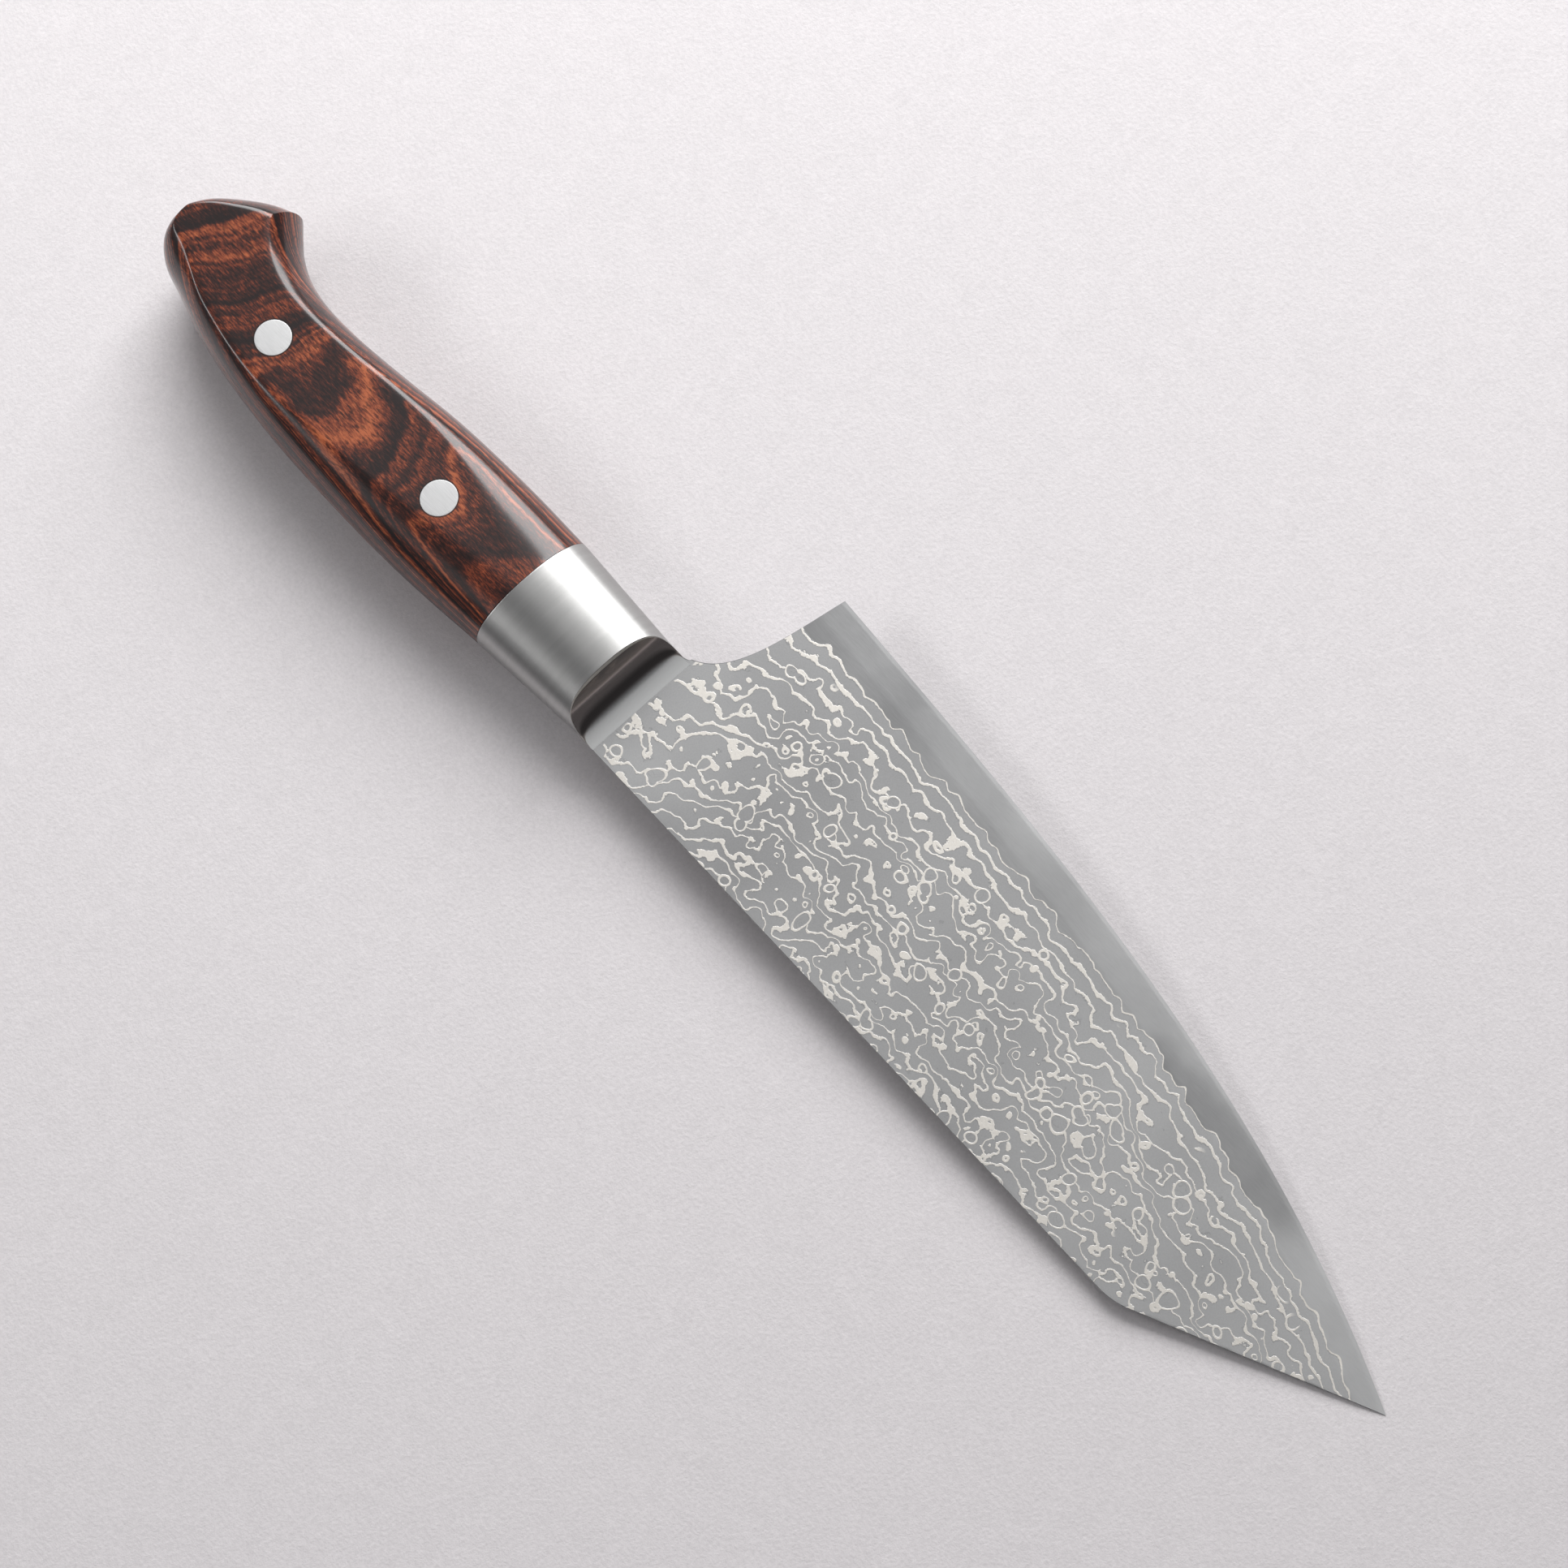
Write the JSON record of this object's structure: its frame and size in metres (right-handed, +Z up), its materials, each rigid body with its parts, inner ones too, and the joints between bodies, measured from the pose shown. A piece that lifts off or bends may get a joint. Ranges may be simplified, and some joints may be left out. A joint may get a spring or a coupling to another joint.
{
  "type": "chef knife",
  "caption": "Kitchen knife with an angled tip: laminated patterned steel blade on a hidden tang, scooped steel bolster and a riveted wooden handle with a beaked butt.",
  "frame": {"origin": "middle of the underside of the object's box, with the knife lying on its right side and the flat of its handle on the ground plane", "axes": "+X from butt to tip, +Y from spine to cutting edge, +Z up, out of the left side"},
  "size_m": [0.3034, 0.0536, 0.0168],
  "materials": {
    "core_steel": "smooth satin",
    "clad_steel": "etched, layered pattern",
    "bolster_steel": "satin, brushed around",
    "scale_wood": "resin-filled, clear gloss",
    "rivet_steel": "fine sanded"
  },
  "bodies": {
    "root": {"blade_core": "core_steel", "cladding_left": "clad_steel", "cladding_right": "clad_steel", "bolster_left": "bolster_steel", "bolster_right": "bolster_steel", "scale_left": "scale_wood", "scale_right": "scale_wood", "front_rivet_sleeve": "rivet_steel", "front_rivet_pin": "rivet_steel", "rear_rivet_sleeve": "rivet_steel", "rear_rivet_pin": "rivet_steel"}
  },
  "joints": []
}
